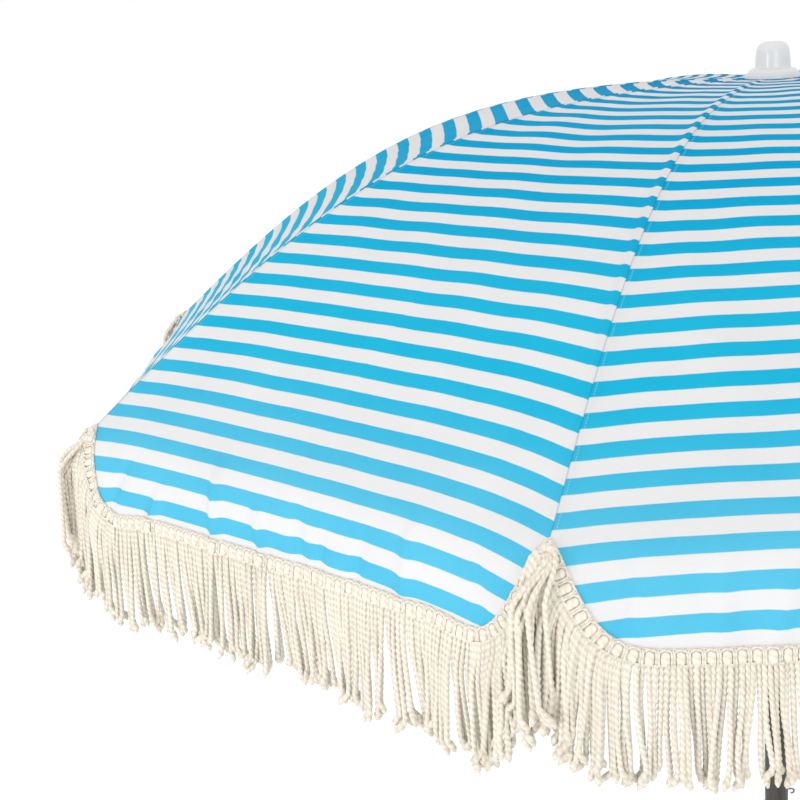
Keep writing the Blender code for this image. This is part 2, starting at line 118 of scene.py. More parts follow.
def meridian_table():
    """Distance down a panel's middle, with the distance outwards, the height and the slope angle there."""
    out = np.linspace(0.0, PANEL_RADIUS, 1600)
    x = out / PANEL_RADIUS
    turn = np.cos(np.pi * x / 2.0)
    curved = (2.0 / np.pi) * (2.0 / 3.0 - turn + turn ** 3 / 3.0)
    height = APEX_Z - PANEL_RADIUS * (RIM_SLOPE_LINEAR * x * x / 2.0 + RIM_SLOPE_CURVED * curved)
    drop = np.linspace(0.0, VALANCE + 0.030, 240)
    share = np.clip(drop / VALANCE, 0.0, 1.0)
    angle = VALANCE_START + VALANCE_TURN * (1.0 - (1.0 - share) ** 2.2)
    step = drop[1]
    middle = 0.5 * (angle[1:] + angle[:-1])
    out = np.concatenate([out, out[-1] + np.cumsum(np.cos(middle)) * step])
    height = np.concatenate([height, height[-1] - np.cumsum(np.sin(middle)) * step])
    along = np.concatenate([[0.0], np.cumsum(np.hypot(np.diff(out), np.diff(height)))])
    slope = np.arctan2(-np.gradient(height, along), np.gradient(out, along))
    return along, out, height, slope


ALONG, OUT, HEIGHT, SLOPE = meridian_table()
RIM = float(np.interp(PANEL_RADIUS, OUT, ALONG))
CLOTH_LENGTH = RIM + VALANCE


def half_width(m):
    return np.minimum(np.interp(m, ALONG, OUT), PANEL_RADIUS) * TAN


def smooth(x, low, high):
    t = np.clip((x - low) / (high - low), 0.0, 1.0)
    return t * t * (3.0 - 2.0 * t)


def fold_list(panel):
    """The small folds above the hem of one panel: (place across, height, width, lean, start)."""
    rng = np.random.default_rng(40 + panel)
    count = FOLDS_PER_PANEL
    places = (np.arange(count) + 0.5 + rng.uniform(-0.28, 0.28, count)) / count * 2.0 - 1.0
    tall = rng.uniform(0.0036, 0.0070, count) * np.where(rng.random(count) < 0.3, -0.6, 1.0)
    if panel == CALM_PANEL:
        tall = tall * CALM
    return [(places[i] * RIM_HALF_WIDTH, tall[i], rng.uniform(0.0070, 0.0120),
             rng.uniform(-0.5, 0.5), rng.uniform(-0.015, 0.035)) for i in range(count)]


FOLDS = {panel: fold_list(panel) for panel in range(1, PANELS + 1)}


def folds(panel, m, v):
    """Height of the small folds above the hem."""
    away = smooth(half_width(m) - np.abs(v), 0.02, 0.07)
    total = 0.0 * away
    for place, tall, wide, lean, start in FOLDS[panel]:
        reach = smooth(m, RIM + start, RIM + start + 0.05)
        total = total + tall * reach * away * np.exp(-((v - place - lean * (m - RIM)) / wide) ** 2)
    return total


def lift(panel, m, v):
    """How far the cloth stands off its plain shape: sag, the ridge over the rib, the seam and folds."""
    width = half_width(m)
    q = np.clip(v / np.maximum(width, 1e-6), -1.0, 1.0)
    edge = np.maximum(width - np.abs(v), 0.0)
    size = np.clip(width / 0.06, 0.15, 1.0)
    h = -SAG * (1.0 - q * q) * smooth(m, 0.05, 0.45)
    h = h + RIDGE * size * np.exp(-(edge / 0.0085) ** 2)
    bulge = np.exp(-((edge - 0.0065) / 0.0055) ** 2) * (1.0 - np.exp(-(edge / 0.0026) ** 2))
    h = h + SEAM_BULGE * size * (1.0 - 0.75 * smooth(m, 0.55, 0.85)) * np.where(v > 0.0, bulge, 0.0)
    away = smooth(edge, 0.02, 0.07)
    rng = np.random.default_rng(7 + panel)
    for _ in range(7):
        a, b, c = rng.uniform(30.0, 75.0), rng.uniform(-28.0, 28.0), rng.uniform(0.0, 6.28)
        h = h + WRINKLE * np.sin(a * v + b * m + c) * away
    return h + folds(panel, m, v)


def cloth(panel, m, v):
    """Points of the cloth of one panel: m runs down its middle from the apex, v runs across it."""
    m, v = np.broadcast_arrays(np.asarray(m, float), np.asarray(v, float))
    out, height = np.interp(m, ALONG, OUT), np.interp(m, ALONG, HEIGHT)
    slope = np.interp(m, ALONG, SLOPE)
    h = lift(panel, m, v)
    edge = np.maximum(half_width(m) - np.abs(v), 0.0)
    phi = 2.0 * HALF_SECTOR * panel
    lean = phi + np.sign(v) * HALF_SECTOR * np.exp(-(edge / 0.006) ** 2)
    push = h * np.sin(slope)
    x = out * np.cos(phi) - v * np.sin(phi) + push * np.cos(lean)
    y = out * np.sin(phi) + v * np.cos(phi) + push * np.sin(lean)
    return np.stack([x, y, height + h * np.cos(slope)], axis=-1)


def unit(vectors):
    return vectors / np.maximum(np.linalg.norm(vectors, axis=-1, keepdims=True), 1e-12)


def cloth_normal(panel, m, v):
    """The cloth's outward normal, rounded off over the rib."""
    step = 0.0006
    m, v = np.broadcast_arrays(np.asarray(m, float), np.asarray(v, float))
    inside = np.minimum(np.abs(v), np.maximum(half_width(m) - 1.5 * step, 0.0)) * np.sign(v)
    down = cloth(panel, m + step, inside) - cloth(panel, m - step, inside)
    side = cloth(panel, m, inside + step) - cloth(panel, m, inside - step)
    normal = unit(np.cross(down, side))
    edge = np.maximum(half_width(m) - np.abs(v), 0.0)
    phi = 2.0 * HALF_SECTOR * panel + np.sign(v) * HALF_SECTOR
    slope = np.interp(m, ALONG, SLOPE)
    ridge = np.stack([np.sin(slope) * np.cos(phi), np.sin(slope) * np.sin(phi), np.cos(slope)], axis=-1)
    weight = np.exp(-(edge / 0.0028) ** 2)[..., None]
    return unit(normal * (1.0 - weight) + ridge * weight)


def stripe_distance(panel, m, v):
    """Distance up from the hem in the flat panel, which is what the stripes follow: they droop beside the ribs."""
    edge = np.maximum(half_width(m) - np.abs(v), 0.0)
    end = DROOP_END * smooth(m, 0.20, 0.85) + DROOP_RIM * smooth(m, 0.60, 0.94)
    start = DROOP_START * smooth(m, 0.20, 0.85)
    droop = np.where(v > 0.0, end * np.exp(-edge / DROOP_REACH_END), start * np.exp(-edge / DROOP_REACH_START))
    return CLOTH_LENGTH - m - PANEL_SHIFT[panel - 1] + droop + 0.5 * folds(panel, m, v)


# ---------------------------------------------------------------- mesh building

def grid_quads(rows, columns):
    """Vertex numbers of a rows x columns grid's faces."""
    index = np.arange(rows * columns).reshape(rows, columns)
    return np.stack([index[:-1, :-1], index[1:, :-1], index[1:, 1:], index[:-1, 1:]], axis=-1).reshape(-1, 4)


def build(name, points, quads, maps, material, normals=None):
    """A mesh object; maps holds each UV map as one pair per face corner."""
    mesh = bpy.data.meshes.new(name)
    mesh.from_pydata(points.tolist(), [], quads.tolist())
    for label, values in maps.items():
        layer = mesh.uv_layers.new(name=label)
        layer.data.foreach_set("uv", np.ascontiguousarray(values, np.float32).ravel())
    mesh.materials.append(material)
    mesh.shade_smooth()
    mesh.update()
    if normals is not None:
        mesh.normals_split_custom_set_from_vertices(normals.tolist())
    piece = bpy.data.objects.new(name, mesh)
    bpy.context.scene.collection.objects.link(piece)
    return piece


def outward(points, quads, normals):
    """The same faces, turned so that they face along the given vertex normals."""
    a, b, c = points[quads[:, 0]], points[quads[:, 1]], points[quads[:, 2]]
    facing = np.einsum("ij,ij->i", np.cross(b - a, c - a), normals[quads[:, 1]])
    if facing.sum() < 0.0:
        return quads[:, ::-1]
    return quads


def edge_columns():
    """Shares of the way from the rib to the panel's middle, closest together beside the rib."""
    near = np.array([0.0, 0.0022, 0.0044, 0.0066, 0.0087, 0.0112, 0.0145, 0.0195, 0.0270]) / RIM_HALF_WIDTH
    far = near[-1] + (1.0 - near[-1]) * np.linspace(0.0, 1.0, 46)[1:]
    return near, far


NEAR, FAR = edge_columns()


def half_panel_grid(m):
    """(m, distance from the rib) for a half panel: fixed distances beside the rib, shares further in."""
    width = half_width(m)[:, None]
    full = np.minimum(RIM_HALF_WIDTH, width / NEAR[-1] * 0.35)
    near = NEAR[None, :] * full
    last = near[:, -1:]
    share = (FAR[None, :] - NEAR[-1]) / (1.0 - NEAR[-1])
    return np.broadcast_to(m[:, None], (len(m), len(NEAR) + len(FAR))), \
        np.concatenate([near, last + (width - last) * share], axis=1)


def half_panel(panel, side, m, edge):
    """Points, normals and map values of one half of a panel's cloth."""
    v = side * (half_width(m) - edge)
    points, normals = cloth(panel, m, v), cloth_normal(panel, m, v)
    cloth_map = np.stack([v, stripe_distance(panel, m, v)], axis=-1)
    seam_map = np.stack([edge + (1.0 if side > 0 else 0.0), m + 2.0 * panel], axis=-1)
    return points, normals, cloth_map, seam_map


def join_grids(name, grids, material):
    """One object out of several grids of (points, normals, cloth map, seam map)."""
    points, normals, quads, first = [], [], [], 0
    maps = {"cloth": [], "seam": []}
    for grid_points, grid_normals, cloth_map, seam_map in grids:
        rows, columns = grid_points.shape[:2]
        flat, flat_normals = grid_points.reshape(-1, 3), grid_normals.reshape(-1, 3)
        faces = outward(flat, grid_quads(rows, columns), flat_normals)
        points.append(flat)
        normals.append(flat_normals)
        quads.append(faces + first)
        maps["cloth"].append(cloth_map.reshape(-1, 2)[faces])
        maps["seam"].append(seam_map.reshape(-1, 2)[faces])
        first += rows * columns
    joined = {label: np.concatenate(values) for label, values in maps.items()}
    return build(name, np.concatenate(points), np.concatenate(quads), joined, material, np.concatenate(normals))


def hem_drop(panel, edge):
    """How far down the valance the cloth reaches, at a distance from the rib: the notch's outline."""
    drop = VALANCE * (1.0 - np.exp(-(edge / NOTCH_WIDTH) ** NOTCH_POWER))
    return drop - HEM_RISE[panel - 1] * smooth(edge, 0.045, 0.13)


# ---------------------------------------------------------------- materials

class Shader:
    """A small helper that makes and links a material's nodes."""

    def __init__(self, name):
        self.material = bpy.data.materials.new(name)
        self.material.use_nodes = True
        self.tree = self.material.node_tree
        self.tree.nodes.clear()

    def put(self, socket, value):
        if isinstance(value, bpy.types.NodeSocket):
            self.tree.links.new(value, socket)
        elif value is not None:
            socket.default_value = value

    def node(self, kind, inputs=None, **settings):
        made = self.tree.nodes.new("ShaderNode" + kind)
        for key, value in settings.items():
            setattr(made, key, value)
        for key, value in (inputs or {}).items():
            self.put(made.inputs[key], value)
        return made

    def math(self, operation, a, b=None, clamp=False):
        made = self.node("Math", operation=operation, use_clamp=clamp)
        for socket, value in zip(made.inputs, (a, b)):
            self.put(socket, value)
        return made.outputs[0]

    def mix(self, factor, a, b):
        made = self.node("Mix", data_type="RGBA", blend_type="MIX")
        self.put(made.inputs[0], factor)
        self.put(made.inputs[6], a)
        self.put(made.inputs[7], b)
        return made.outputs[2]

    def fade(self, value, low, high, start=0.0, end=1.0):
        made = self.node("MapRange", {0: value, 1: low, 2: high, 3: start, 4: end})
        made.interpolation_type = "SMOOTHSTEP"
        return made.outputs[0]

    def uv(self, name):
        split = self.node("SeparateXYZ", {0: self.node("UVMap", uv_map=name).outputs[0]})
        return split.outputs[0], split.outputs[1]

    def vector(self, x, y, z=0.0):
        return self.node("CombineXYZ", {0: x, 1: y, 2: z}).outputs[0]

    def noise(self, vector, scale, detail=3.0, roughness=0.55):
        made = self.node("TexNoise", {"Vector": vector, "Scale": scale, "Detail": detail, "Roughness": roughness})
        return made.outputs[0]

    def line(self, value, place, width):
        """1 on a line where value is place, falling to 0 at width."""
        away = self.math("ABSOLUTE", self.math("SUBTRACT", value, place))
        return self.math("SUBTRACT", 1.0, self.math("DIVIDE", away, width), clamp=True)

    def bump(self, height, strength, distance):
        return self.node("Bump", {"Height": height, "Strength": strength, "Distance": distance}).outputs[0]

    def surface(self, color, roughness, normal=None, see_through=0.0, **values):
        made = self.node("BsdfPrincipled")
        self.put(made.inputs["Base Color"], color)
        self.put(made.inputs["Roughness"], roughness)
        self.put(made.inputs["Normal"], normal)
        for key, value in values.items():
            self.put(made.inputs[key.replace("_", " ")], value)
        shader = made.outputs[0]
        if see_through:
            behind = self.node("BsdfTranslucent", {"Color": color, "Normal": normal})
            shader = self.node("MixShader", {0: see_through, 1: shader, 2: behind.outputs[0]}).outputs[0]
        output = self.node("OutputMaterial")
        self.tree.links.new(shader, output.inputs[0])
        return self.material


def striped_cotton():
    """Blue and white woven stripes that follow each panel's hem, with the seam beside each rib. The blue carries
    painted shade, darker towards the apex and lighter near the hem, and the seam over each rib carries a painted
    shadow line.
    """
    s = Shader("striped_cotton")
    across, up = s.uv("cloth")
    edge, down = s.uv("seam")
    place = s.vector(across, down)
    wobble = s.math("MULTIPLY", s.math("SUBTRACT", s.noise(place, 45.0, 2.0), 0.5), 0.0007)
    level = s.math("SUBTRACT", s.math("ADD", up, wobble), FIRST_WHITE)
    wave = s.math("SINE", s.math("MULTIPLY", level, math.pi / STRIPE))
    blue = s.math("ADD", s.math("MULTIPLY", wave, 6.0), 0.5, clamp=True)
    blue = s.math("MULTIPLY", blue, s.math("GREATER_THAN", level, 0.0))
    cloudy = s.noise(place, 11.0, 4.0)
    slub = s.noise(s.vector(s.math("MULTIPLY", across, 3.0), s.math("MULTIPLY", down, 14.0)), 55.0, 4.0, 0.7)
    # Painted shade: the blue is painted darker towards the apex and lighter near the hem, where light shows through;
    # slub and cloudy add random tone on top.
    apex_shaded_blue = s.mix(s.fade(up, 0.30, 0.62), (0.014, 0.430, 0.645, 1.0), (0.000, 0.335, 0.595, 1.0))
    apex_shaded_blue = s.mix(s.fade(up, 0.62, 1.02), apex_shaded_blue, (0.000, 0.225, 0.450, 1.0))
    blue_painted_shade_and_mottle = s.mix(s.fade(up, 0.06, 0.27), (0.100, 0.490, 0.690, 1.0), apex_shaded_blue)
    blue_painted_shade_and_mottle = s.mix(s.fade(slub, 0.35, 0.75, 0.0, 0.18), blue_painted_shade_and_mottle, (0.010, 0.430, 0.690, 1.0))
    blue_painted_shade_and_mottle = s.mix(s.fade(cloudy, 0.3, 0.8, 0.0, 0.16), blue_painted_shade_and_mottle, (0.000, 0.290, 0.560, 1.0))
    plain = s.mix(s.fade(cloudy, 0.3, 0.8, 0.0, 0.5), (0.730, 0.725, 0.730, 1.0), (0.690, 0.685, 0.690, 1.0))
    color = s.mix(blue, plain, blue_painted_shade_and_mottle)
    # Painted shadow: a dark line along the seam over each rib, also cut in as a groove in the bump.
    seam_shadow_groove = s.math("MULTIPLY", s.math("ADD", s.line(edge, 0.0, 0.0013), s.line(edge, 1.0, 0.0013)), 0.6)
    thread = s.math("MULTIPLY", s.line(edge, STITCH_OFFSET, 0.0007),
                    s.math("GREATER_THAN", s.math("FRACT", s.math("DIVIDE", down, 0.0032)), 0.35))
    color = s.mix(seam_shadow_groove, color, s.mix(0.5, color, (0.0, 0.09, 0.16, 1.0)))
    color = s.mix(s.math("MULTIPLY", thread, 0.32), color, (0.62, 0.74, 0.80, 1.0))
    weft = s.math("SINE", s.math("MULTIPLY", across, 2.0 * math.pi / 0.0011))
    warp = s.math("SINE", s.math("MULTIPLY", down, 2.0 * math.pi / 0.0011))
    height = s.math("MULTIPLY", s.math("MULTIPLY", weft, warp), 0.12)
    height = s.math("ADD", height, s.math("MULTIPLY", slub, 0.7))
    height = s.math("SUBTRACT", height, s.math("MULTIPLY", seam_shadow_groove, 1.6))
    height = s.math("ADD", height, s.math("MULTIPLY", thread, 0.5))
    roughness = s.fade(slub, 0.2, 0.8, 0.62, 0.78)
    return s.surface(color, roughness, s.bump(height, 0.30, 0.0010), 0.16, Specular_IOR_Level=0.04)


def cotton_rope():
    """Undyed twisted cotton: two plies lie round each other, with fine yarns in each."""
    s = Shader("cotton_rope")
    around, along = s.uv("ply")
    tone, share = s.uv("tone")
    twist = s.math("MULTIPLY", along, 4.0 * math.pi / LAY)
    turn = s.math("SUBTRACT", s.math("MULTIPLY", around, 4.0 * math.pi), twist)
    crown = s.math("ADD", s.math("MULTIPLY", s.math("COSINE", turn), 0.5), 0.5)
    # Painted shade: the grooves between the two plies are darkened in the colour.
    ply_groove_shade = s.math("POWER", s.math("SUBTRACT", 1.0, crown), 2.5)
    yarn_turn = s.math("ADD", s.math("MULTIPLY", around, 16.0 * math.pi), s.math("MULTIPLY", along, 2600.0))
    yarn = s.math("SINE", yarn_turn)
    fibre = s.noise(s.vector(s.math("MULTIPLY", around, 1.5), s.math("MULTIPLY", along, 90.0), tone), 9.0, 4.0, 0.7)
    color = s.mix(tone, (0.800, 0.745, 0.645, 1.0), (0.710, 0.645, 0.535, 1.0))
    color = s.mix(s.fade(fibre, 0.3, 0.75, 0.0, 0.30), color, (0.870, 0.830, 0.750, 1.0))
    color = s.mix(s.math("MULTIPLY", ply_groove_shade, 0.34), color, (0.470, 0.385, 0.280, 1.0))
    color = s.mix(s.fade(share, 0.86, 1.0, 0.0, 0.16), color, (0.520, 0.425, 0.310, 1.0))
    height = s.math("ADD", crown, s.math("MULTIPLY", yarn, 0.10))
    height = s.math("ADD", height, s.math("MULTIPLY", fibre, 0.5))
    roughness = s.fade(fibre, 0.2, 0.8, 0.80, 0.95)
    return s.surface(color, roughness, s.bump(height, 0.55, 0.0010), Sheen_Weight=0.20, Sheen_Roughness=0.6)


def painted_tube(name, light, dark, rough, metallic):
    """Satin paint or bare tube: drawn streaks along the tube, scuffs and a little dust."""
    s = Shader(name)
    split = s.node("SeparateXYZ", {0: s.node("TexCoord").outputs["Object"]})
    x, y, z = split.outputs
    streak = s.noise(s.vector(x, y, s.math("MULTIPLY", z, 0.03)), 420.0, 3.0)
    scuff = s.noise(s.vector(x, y, s.math("MULTIPLY", z, 0.5)), 60.0, 6.0, 0.7)
    color = s.mix(s.fade(streak, 0.35, 0.65), light, dark)
    worn = s.fade(scuff, 0.62, 0.74, 0.0, 0.5)
    color = s.mix(worn, color, tuple(min(1.0, 1.7 * c) for c in light[:3]) + (1.0,))
    roughness = s.math("ADD", s.fade(scuff, 0.3, 0.8, rough, rough + 0.16), s.math("MULTIPLY", streak, 0.05))
    height = s.math("ADD", s.math("MULTIPLY", streak, 0.4), s.math("MULTIPLY", scuff, 0.6))
    return s.surface(color, roughness, s.bump(height, 0.10, 0.0006), Metallic=metallic)


def moulded_plastic(name, light, dark, rough, coat):
    """Moulded plastic with a fine skin texture and faint flow marks."""
    s = Shader(name)
    place = s.node("TexCoord").outputs["Object"]
    flow = s.noise(place, 26.0, 4.0)
    skin = s.noise(place, 900.0, 2.0)
    color = s.mix(s.fade(flow, 0.3, 0.7), light, dark)
    height = s.math("ADD", s.math("MULTIPLY", skin, 0.5), s.math("MULTIPLY", flow, 0.5))
    roughness = s.fade(flow, 0.25, 0.75, rough, rough + 0.10)
    return s.surface(color, roughness, s.bump(height, 0.05, 0.0008), Coat_Weight=coat, Coat_Roughness=0.12)


COTTON = striped_cotton()
ROPE = cotton_rope()
POLE_PAINT = painted_tube("pole_paint", (0.052, 0.046, 0.038, 1.0), (0.030, 0.027, 0.022, 1.0), 0.27, 0.12)
INNER_TUBE = painted_tube("inner_tube", (0.520, 0.510, 0.490, 1.0), (0.420, 0.410, 0.390, 1.0), 0.28, 1.0)
RIB_STEEL = painted_tube("rib_steel", (0.700, 0.690, 0.660, 1.0), (0.560, 0.545, 0.515, 1.0), 0.34, 0.75)
BRIGHT_WIRE = painted_tube("bright_wire", (0.640, 0.640, 0.620, 1.0), (0.520, 0.520, 0.500, 1.0), 0.24, 1.0)
# Painted reflection: the bright steel height pin is given a dark colour that stands in for the dark surroundings it
# reflects.
PIN_DARK_REFLECTION = painted_tube("pin_dark_reflection", (0.180, 0.175, 0.168, 1.0), (0.105, 0.102, 0.098, 1.0), 0.30, 0.80)
WHITE_PLASTIC = moulded_plastic("white_plastic", (0.720, 0.716, 0.712, 1.0), (0.690, 0.686, 0.682, 1.0), 0.20, 0.40)
MOULDING = moulded_plastic("moulding", (0.700, 0.695, 0.675, 1.0), (0.640, 0.632, 0.610, 1.0), 0.36, 0.10)
SPIKE_PLASTIC = moulded_plastic("spike_plastic", (0.130, 0.118, 0.102, 1.0), (0.100, 0.090, 0.078, 1.0), 0.42, 0.0)


# ---------------------------------------------------------------- the canopy

def make_canopy(rib):
    """The cloth over one rib, from the middle of the panel before it to the middle of the next."""
    before = PANELS if rib == 1 else rib - 1
    m = np.linspace(0.0, 1.0, 74) ** 0.92 * (RIM - CENTRE_HOLE) + CENTRE_HOLE
    where, edge = half_panel_grid(m)
    grids = [half_panel(before, 1.0, where, edge), half_panel(rib, -1.0, where, edge)]
    piece = join_grids(f"canopy_cloth_{rib}", grids, COTTON)
    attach(piece, f"rib_{rib}")
    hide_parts(f"canopy_gore_{rib}")
    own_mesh(piece)


# ---------------------------------------------------------------- the valance and its fringe

def make_valance(panel, side):
    """Half of a panel's hanging valance, from the notch at the rib to the panel's middle."""
    _, edge = half_panel_grid(np.array([RIM]))
    edge = np.concatenate([[0.0006], edge[0, 1:]])
    share = np.linspace(0.0, 1.0, 16)[:, None]
    m = RIM + share * (hem_drop(panel, edge)[None, :] + 0.0015)
    return join_grids(f"valance_{panel}_{'end' if side > 0 else 'start'}",
                      [half_panel(panel, side, m, np.broadcast_to(edge[None, :], m.shape))], COTTON)


class HemLine:
    """The line along a half valance's cut edge, with the directions off the edge and outwards."""

    def __init__(self, panel, side):
        edge = np.concatenate([np.linspace(0.0, 0.09, 500), np.linspace(0.09, RIM_HALF_WIDTH, 500)[1:]])
        m = RIM + hem_drop(panel, edge)
        v = side * (RIM_HALF_WIDTH - edge)
        self.points = cloth(panel, m, v)
        self.normals = cloth_normal(panel, m, v)
        tangent = unit(np.gradient(self.points, axis=0))
        off = unit(np.cross(self.normals, tangent))
        down = cloth(panel, m + 0.001, v) - self.points
        flip = np.sign(np.einsum("ij,ij->i", off, down))
        self.off = off * flip[:, None]
        step = np.linalg.norm(np.diff(self.points, axis=0), axis=1)
        self.along = np.concatenate([[0.0], np.cumsum(step)])
        self.length = float(self.along[-1])
        self.side = side
        phi = 2.0 * HALF_SECTOR * panel
        self.away = np.array([math.cos(phi), math.sin(phi), 0.0])

    def at(self, along, values):
        return np.stack([np.interp(along, self.along, values[:, i]) for i in range(3)], axis=-1)

    def place(self, along, off, out):
        """The point at a distance along the edge, off it and out from the cloth."""
        off_way, out_way = unit(self.at(along, self.off)), unit(self.at(along, self.normals))
        return self.at(along, self.points) + off_way * off[..., None] + out_way * out[..., None]


def tubes(paths, radii, sides, reference, tones, squeeze=1.0, lump=0.0):
    """Round or flattened tubes along many paths at once: (points, faces, ply map, tone map)."""
    count, rings, _ = paths.shape
    tangent = unit(np.gradient(paths, axis=1))
    side = unit(np.cross(tangent, np.broadcast_to(reference, paths.shape)))
    other = np.cross(side, tangent)
    step = np.linalg.norm(np.diff(paths, axis=1), axis=2)
    along = np.concatenate([np.zeros((count, 1)), np.cumsum(step, axis=1)], axis=1)
    turn = 2.0 * np.pi * np.arange(sides) / sides
    phase = 2.0 * turn[None, None, :] - 4.0 * np.pi * along[..., None] / LAY
    radius = radii[..., None] * (1.0 + lump * np.cos(phase))
    across = (radius * np.cos(turn))[..., None] * side[:, :, None, :]
    through = (radius * np.sin(turn) * squeeze)[..., None] * other[:, :, None, :]
    points = paths[:, :, None, :] + across + through
    first = (np.arange(count)[:, None, None] * rings + np.arange(rings - 1)[None, :, None]) * sides
    here, onward = np.arange(sides)[None, None, :], (np.arange(sides) + 1)[None, None, :] % sides
    faces = np.stack([first + here, first + onward, first + sides + onward, first + sides + here], axis=-1)
    u = np.broadcast_to(np.arange(sides) / sides, (count, rings - 1, sides))
    low = np.broadcast_to(along[:, :-1, None], u.shape)
    high = np.broadcast_to(along[:, 1:, None], u.shape)
    u_next = u + 1.0 / sides
    ply = np.stack([np.stack([u, low], -1), np.stack([u_next, low], -1),
                    np.stack([u_next, high], -1), np.stack([u, high], -1)], axis=-2)
    share = along / along[:, -1:]
    tone = np.broadcast_to(tones[:, None, None], u.shape)
    near, far = np.broadcast_to(share[:, :-1, None], u.shape), np.broadcast_to(share[:, 1:, None], u.shape)
    tone_map = np.stack([np.stack([tone, near], -1), np.stack([tone, near], -1),
                         np.stack([tone, far], -1), np.stack([tone, far], -1)], axis=-2)
    return points.reshape(-1, 3), faces.reshape(-1, 4), ply.reshape(-1, 4, 2), tone_map.reshape(-1, 4, 2)


def heading_parts(hem, rng):
    """The woven heading: wound blocks, each framed by a looped cord, with a thin cord between."""
    centres = np.arange(0.5 * REPEAT, hem.length, REPEAT)
    centres = centres * (hem.length / (centres[-1] + 0.5 * REPEAT))
    count = len(centres)
    tones = rng.uniform(0.0, 0.35, count)
    t = np.linspace(0.0, 1.0, 9)
    off = np.broadcast_to(BLOCK_TOP + BLOCK_LENGTH * t, (count, 9))
    along = np.broadcast_to(centres[:, None], off.shape)
    block = hem.place(along, off, np.full(off.shape, 0.0008))
    full = np.broadcast_to(BLOCK_HALF_WIDTH * (1.0 - np.abs(2.0 * t - 1.0) ** 5) ** 0.5 + 0.0002, off.shape)
    out = np.broadcast_to(hem.at(centres, hem.normals)[:, None, :], block.shape)
    parts = [tubes(block, full, 8, out, tones, 0.55)]
    bend = np.linspace(-1.0, 1.0, 13)
    curved = np.abs(bend) < LOOP_BEND_SHARE
    turn = bend / LOOP_BEND_SHARE * np.pi / 2.0
    x = np.where(curved, LOOP_HALF_WIDTH * np.sin(turn), np.clip(1.75 * bend, -1.0, 1.0) * LOOP_HALF_WIDTH)
    y = np.where(curved, LOOP_DEPTH - LOOP_DEPTH * np.cos(turn),
                 LOOP_DEPTH + (np.abs(bend) - LOOP_BEND_SHARE) / LOOP_LEG_SHARE * LOOP_LEG)
    along = centres[:, None] + x[None, :]
    loop = hem.place(along, np.broadcast_to(y, along.shape), np.full(along.shape, 0.0013))
    out = hem.at(along, hem.normals)
    parts.append(tubes(loop, np.full(loop.shape[:2], LOOP_RADIUS), ROPE_SIDES, out, tones * 0.5, 1.0, 0.12))
    t = np.linspace(0.0, 1.0, 6)
    along = np.broadcast_to((centres + 0.5 * REPEAT)[:, None], (count, 6))
    off = np.broadcast_to(HEADING * t, along.shape)
    column = hem.place(np.minimum(along, hem.length), off, np.full(along.shape, 0.0006))
    out = np.broadcast_to(hem.at(centres, hem.normals)[:, None, :], column.shape)
    parts.append(tubes(column, np.full(column.shape[:2], BETWEEN_RADIUS), ROPE_SIDES, out, tones, 1.0, 0.2))
    return parts


def tape_part(hem):
    """The flat tape behind the heading."""
    along = np.linspace(0.0, hem.length, 120)[:, None] * np.ones((1, 3))
    off = np.broadcast_to(np.array([-0.0010, 0.0070, 0.0150]), along.shape)
    points = hem.place(along, off, np.full(along.shape, 0.0008))
    quads = grid_quads(*along.shape)
    ply = np.stack([off, along], axis=-1).reshape(-1, 2)[quads]
    tone = np.full(ply.shape, 0.20)
    return points.reshape(-1, 3), quads, ply, tone


